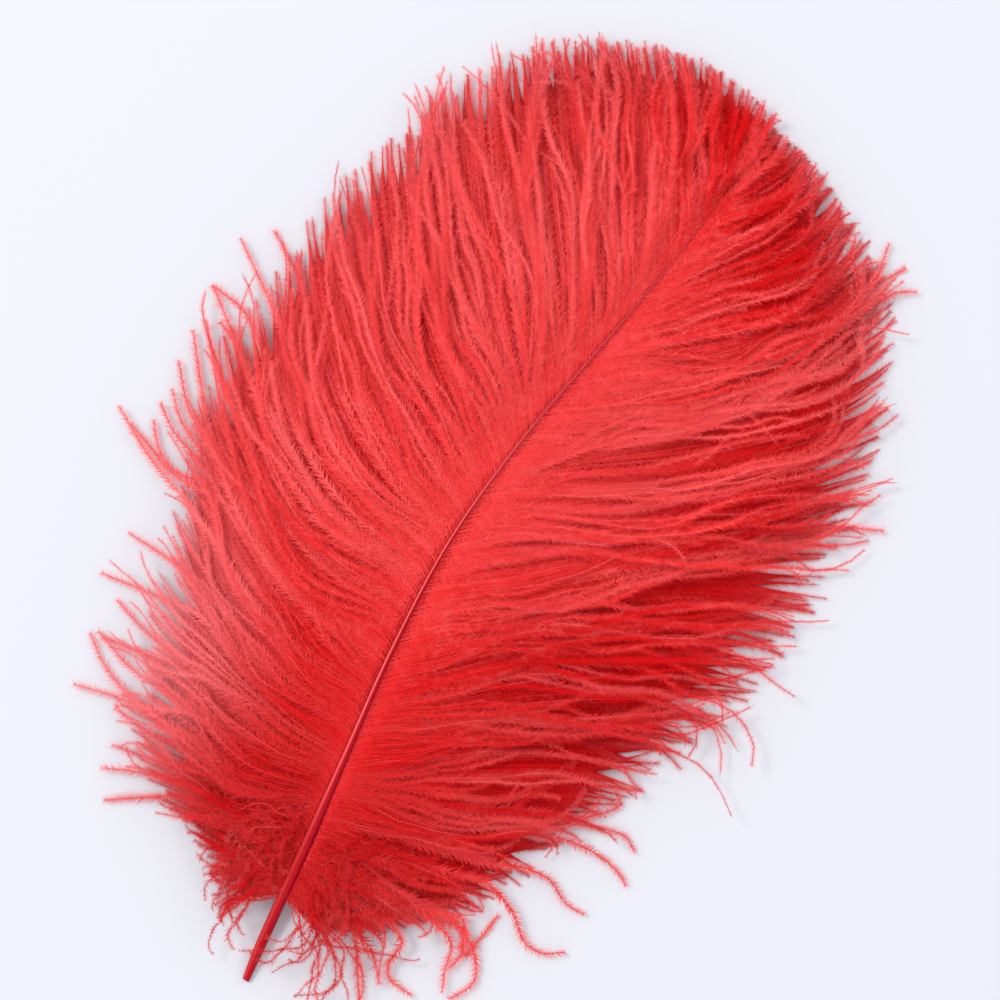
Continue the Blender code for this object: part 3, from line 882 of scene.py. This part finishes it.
def dyed_material(name, paint):
    """The material of that name. It is made when it is first asked for, and paint gives it its nodes."""
    material = bpy.data.materials.get(name)
    if material is None:
        material = bpy.data.materials.new(name)
        material.use_nodes = True
        paint(Nodes(material))
    return material


def new_primitive(operator, **options):
    """Adds one primitive with nothing else selected, and goes into edit mode on it."""
    bpy.ops.object.select_all(action="DESELECT")
    operator(**options)
    obj = bpy.context.active_object
    bpy.ops.object.mode_set(mode="EDIT")
    return obj


def number_prop(name, description, default, **kind):
    return bpy.props.FloatProperty(name=name, description=description, default=default, **kind)


def length_prop(name, description, default):
    return number_prop(name, description, default, unit="LENGTH")


def share_prop(name, description, default):
    return number_prop(name, description, default, subtype="FACTOR")


def colour_prop(name, description, default):
    return bpy.props.FloatVectorProperty(
        name=name, description=description, default=default, subtype="COLOR", size=3, min=0, max=1
    )


class ShaftSettings(bpy.types.PropertyGroup):
    """Sizes of the shaft."""

    sides: bpy.props.IntProperty(name="Sides", description="Points round the shaft", default=16, min=6)
    rings: bpy.props.IntProperty(name="Rings", description="Rings along the shaft", default=64, min=8)
    wall: length_prop("Wall", "Wall of the hollow quill at its cut end", 0.0004)
    hollow: length_prop("Hollow", "How deep the cut end is open", 0.006)


class BarbSettings(bpy.types.PropertyGroup):
    """Barbs and barbules of both vanes."""

    barbs: bpy.props.IntProperty(name="Barbs", description="Barbs on each side of the shaft", default=620)
    thickness: length_prop("Barb radius", "Radius of a barb at the shaft", 0.00017)
    pitch: length_prop("Barbule pitch", "Distance from barbule to barbule", 0.00034)
    barbule_width: length_prop("Barbule width", "Width of a barbule at the barb", 0.00032)
    barbule_length: number_prop("Barbule length", "Scale of the barbules' length", 0.9, min=0.2)
    lock_swing: number_prop("Lock swing", "How far locks turn off their course, in degrees", 11.0)
    barb_swing: number_prop("Barb swing", "How far single barbs turn off theirs, in degrees", 9.0)
    brush_swing: number_prop("Brush swing", "How far pairs and threes of barbs wave, in degrees", 13.0)
    flow: number_prop("Flow", "How far whole patches of barbs turn off their course, in degrees", 11.0)
    under: share_prop("Under", "Share of barbs that lie beneath the locks", 0.45)
    brief: share_prop("Brief", "Share of the locks' barbs that end short", 0.5)
    tip_spread: number_prop("Tip spread", "How far barbs' tips turn apart, in degrees", 12.0)
    twist: number_prop("Twist", "How far barbs roll about their own line, in degrees", 26.0)
    strays: share_prop("Strays", "Share of barbs that lie across the others", 0.07)
    down: bpy.props.IntProperty(name="Down", description="Downy barbs round the quill", default=130)
    down_from: length_prop("Down from", "Where the down begins, from the cut end", 0.029)
    down_to: length_prop("Down to", "Where the down ends, from the cut end", 0.055)
    down_length: length_prop("Down length", "Length of the downy barbs", 0.030)
    down_curl: number_prop("Down curl", "How far the downy barbs turn along their length, in degrees", 170.0)
    seed: bpy.props.IntProperty(name="Seed", description="Start of the random draws", default=11)


class DyeSettings(bpy.types.PropertyGroup):
    """Colours of the dyed feather, which also serve for its painted light and shade."""

    scarlet: colour_prop("Scarlet", "Main colour of the barbs", (1.0, 0.038, 0.038))
    # Deep red is also the painted shade: of the lower layer, of barbules that tilt down, of the mats and of
    # the deep patches.
    deep: colour_prop("Deep red", "Colour of the deeper locks", (0.74, 0.002, 0.004))
    # Light red is also the painted highlight: on the shaft's left edge, near the barbs' roots, on barbules
    # that tilt up, and on the lighter patches.
    light: colour_prop("Light red", "Colour where the barbs are thin", (1.0, 0.15, 0.15))
    pale: colour_prop(
        "Pale red", "Colour of the barbules at the fringe, where light comes through", (1.0, 0.33, 0.35)
    )
    # The barb core is also the painted shade on the shaft's right flank.
    core: colour_prop("Barb core", "Colour of the bare barbs at the fringe", (0.34, 0.004, 0.022))
    # The shaft's colour is also painted shade on the mats and in two patches.
    shaft: colour_prop("Shaft", "Colour of the shaft", (0.42, 0.004, 0.008))
    mauve: colour_prop("Shaft's tip", "Colour of the shaft where it thins out", (0.52, 0.055, 0.075))


class StageSettings(bpy.types.PropertyGroup):
    """Floor, light and camera."""

    floor: colour_prop("Floor", "Colour of the floor", (0.695, 0.705, 0.745))
    height: length_prop("Camera height", "Camera's height over the floor", 1.1)
    view_width: length_prop("View width", "Width of floor that the camera takes in", 0.330)
    roll: number_prop(
        "Roll", "Turn of the shaft in the picture, clockwise from upright",
        math.radians(30.862), subtype="ANGLE",
    )
    ambient: number_prop("Ambient", "Strength of the even light", 0.93)
    key: number_prop("Key", "Power of the key light in watts", 34.0)


class PLUME_OT_shaft(bpy.types.Operator):
    """Adds the shaft and quill"""

    bl_idname = "plume.shaft"
    bl_label = "Add shaft"

    def execute(self, context):
        settings = context.scene.plume_shaft
        y = np.linspace(0, SHAFT_LINE[-1][0], settings.rings + 1)
        y = np.concatenate([[settings.hollow, 0.0], y])
        centre, radius = shaft_centre(y)
        radius[:2] = radius[2] - settings.wall
        centre = centre + PLACE
        obj = new_primitive(
            bpy.ops.mesh.primitive_circle_add,
            vertices=settings.sides,
            radius=radius[0],
            fill_type="NGON",
            location=centre[0],
            rotation=(math.pi / 2, 0, 0),
        )
        bpy.ops.mesh.select_all(action="SELECT")
        for k in range(1, len(y)):
            step = Vector(centre[k] - centre[k - 1])
            bpy.ops.mesh.extrude_region_move(TRANSFORM_OT_translate={"value": step})
            size = radius[k] / radius[k - 1]
            bpy.ops.transform.resize(value=(size, size, size), center_override=Vector(centre[k]))
        bpy.ops.mesh.select_all(action="SELECT")
        bpy.ops.mesh.normals_make_consistent(inside=False)
        bpy.ops.object.mode_set(mode="OBJECT")
        bpy.ops.object.transform_apply(location=True, rotation=True, scale=True)
        bpy.ops.object.shade_smooth_by_angle(angle=math.radians(40))
        obj.name = obj.data.name = "shaft"
        points = np.array([v.co for v in obj.data.vertices]) - PLACE
        centre, radius = shaft_centre(points[:, 1])
        # Place across the shaft, from -1 on its left to 1 on its right. It places the shaft's painted
        # highlight and painted shade.
        flank = obj.data.attributes.new("flank", "FLOAT", "POINT")
        flank.data.foreach_set("value", ((points[:, 0] - centre[:, 0]) / radius).astype(np.float32))
        obj.data.materials.append(dyed_material("dyed_shaft", paint_shaft))
        stands_for_feather(obj)
        return {"FINISHED"}


class PLUME_OT_left_vane(bpy.types.Operator):
    """Adds the barbs on the left of the shaft"""

    bl_idname = "plume.left_vane"
    bl_label = "Add left vane"

    def execute(self, context):
        add_vane("left_barbs", LEFT_GUIDES, LEFT_FRINGE, LEFT, context.scene.plume_barbs)
        return {"FINISHED"}


class PLUME_OT_right_vane(bpy.types.Operator):
    """Adds the barbs on the right of the shaft"""

    bl_idname = "plume.right_vane"
    bl_label = "Add right vane"

    def execute(self, context):
        add_vane("right_barbs", RIGHT_GUIDES, RIGHT_FRINGE, RIGHT, context.scene.plume_barbs)
        return {"FINISHED"}


class PLUME_OT_loose_barbs(bpy.types.Operator):
    """Adds the barbs that stand clear of the fringe"""

    bl_idname = "plume.loose_barbs"
    bl_label = "Add loose barbs"

    def execute(self, context):
        settings = context.scene.plume_barbs
        rng = np.random.default_rng(settings.seed + LOOSE_DRAWS)
        feathered_piece("loose_barbs", loose_barbs(rng), settings, rng)
        return {"FINISHED"}


class PLUME_OT_quill_down(bpy.types.Operator):
    """Adds the down round the quill"""

    bl_idname = "plume.quill_down"
    bl_label = "Add quill down"

    def execute(self, context):
        settings = context.scene.plume_barbs
        rng = np.random.default_rng(settings.seed + DOWN_DRAWS)
        feathered_piece("quill_down", quill_down(settings, rng), settings, rng)
        return {"FINISHED"}


class PLUME_OT_stage(bpy.types.Operator):
    """Adds the floor, the lights and the camera"""

    bl_idname = "plume.stage"
    bl_label = "Set the stage"

    def execute(self, context):
        scene = context.scene
        settings = scene.plume_stage
        scene.view_settings.view_transform = "Standard"
        bpy.ops.object.select_all(action="DESELECT")
        bpy.ops.mesh.primitive_plane_add(size=FLOOR_SIZE, location=(0, 0, 0))
        floor = context.active_object
        floor.name = "floor"
        material = bpy.data.materials.new("floor")
        material.use_nodes = True
        shader = material.node_tree.nodes["Principled BSDF"]
        shader.inputs["Base Color"].default_value = (*settings.floor, 1.0)
        shader.inputs["Roughness"].default_value = 0.9
        shader.inputs["Specular IOR Level"].default_value = 0.1
        floor.data.materials.append(material)

        world = bpy.data.worlds.new("studio")
        world.use_nodes = True
        background = world.node_tree.nodes["Background"]
        background.inputs["Color"].default_value = STUDIO_WHITE
        background.inputs["Strength"].default_value = settings.ambient
        scene.world = world

        roll = Matrix.Rotation(settings.roll, 4, "Z")
        right, up = roll @ Vector((1, 0, 0)), roll @ Vector((0, 1, 0))
        middle = Vector(PLACE) + Vector(PICTURE_MIDDLE)
        for name, aside, ahead, height, size, share in LIGHTS:
            light = bpy.data.lights.new(name, "AREA")
            light.size = size
            light.energy = settings.key * share
            lamp = bpy.data.objects.new(name, light)
            lamp.location = middle + right * aside + up * ahead + Vector((0, 0, height))
            lamp.rotation_euler = (middle - lamp.location).to_track_quat("-Z", "Y").to_euler()
            scene.collection.objects.link(lamp)

        camera = bpy.data.cameras.new("camera")
        camera.sensor_width = SENSOR_WIDTH
        camera.lens = camera.sensor_width * settings.height / settings.view_width
        camera.clip_start, camera.clip_end = 0.05, 20.0
        eye = bpy.data.objects.new("camera", camera)
        eye.matrix_world = Matrix.Translation(middle + Vector((0, 0, settings.height))) @ roll
        scene.collection.objects.link(eye)
        scene.camera = eye
        return {"FINISHED"}


class PLUME_PT_panel(bpy.types.Panel):
    """Lists the steps of the plume"""

    bl_label = "Ostrich Plume"
    bl_idname = "PLUME_PT_panel"
    bl_space_type = "VIEW_3D"
    bl_region_type = "UI"
    bl_category = "Plume"

    def draw(self, context):
        for operator in OPERATORS:
            self.layout.operator(operator.bl_idname)


OPERATORS = (
    PLUME_OT_shaft,
    PLUME_OT_left_vane,
    PLUME_OT_right_vane,
    PLUME_OT_loose_barbs,
    PLUME_OT_quill_down,
    PLUME_OT_stage,
)
GROUPS = {
    "plume_shaft": ShaftSettings,
    "plume_barbs": BarbSettings,
    "plume_dye": DyeSettings,
    "plume_stage": StageSettings,
}
CLASSES = (*GROUPS.values(), *OPERATORS, PLUME_PT_panel)


def register():
    for cls in CLASSES:
        bpy.utils.register_class(cls)
    for name, group in GROUPS.items():
        setattr(bpy.types.Scene, name, bpy.props.PointerProperty(type=group))


def unregister():
    for name in GROUPS:
        delattr(bpy.types.Scene, name)
    for cls in reversed(CLASSES):
        bpy.utils.unregister_class(cls)


def main():
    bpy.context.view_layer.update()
    register()
    bpy.ops.plume.shaft()
    bpy.ops.plume.left_vane()
    bpy.ops.plume.right_vane()
    bpy.ops.plume.loose_barbs()
    bpy.ops.plume.quill_down()
    bpy.ops.plume.stage()


if __name__ == "__main__":
    main()
